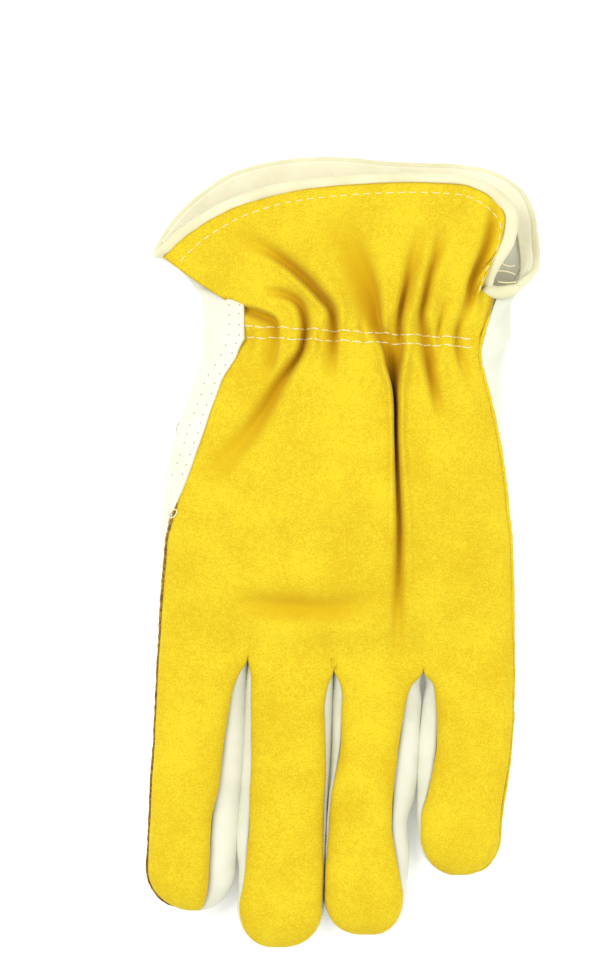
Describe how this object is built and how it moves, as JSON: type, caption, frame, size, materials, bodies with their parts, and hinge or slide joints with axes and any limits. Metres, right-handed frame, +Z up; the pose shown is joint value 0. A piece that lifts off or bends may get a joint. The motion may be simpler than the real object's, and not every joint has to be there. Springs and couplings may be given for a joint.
{
  "type": "cowhide work glove",
  "caption": "Left-hand leather work glove lying palm down, suede back gathered at the wrist, grain leather palm and fourchettes, bound flared cuff.",
  "frame": {"origin": "on the floor under the middle of the glove's outline", "axes": "+Y from the fingertips to the cuff, +X from the index finger to the little finger, +Z up out of the suede back"},
  "size_m": [0.1314, 0.266, 0.0282],
  "materials": {
    "suede": "golden yellow split suede with a short mottled nap",
    "grain_leather": "cream white grain leather with fine creases",
    "binding_leather": "warm cream rolled leather band",
    "thread": "off-white spun sewing thread"
  },
  "bodies": {
    "root": {"back_panel": "suede", "palm_panel": "grain_leather", "fourchette_index_middle": "grain_leather", "fourchette_middle_ring": "grain_leather", "fourchette_ring_little": "grain_leather", "thumb": "grain_leather", "cuff_binding": "binding_leather"}
  },
  "joints": []
}
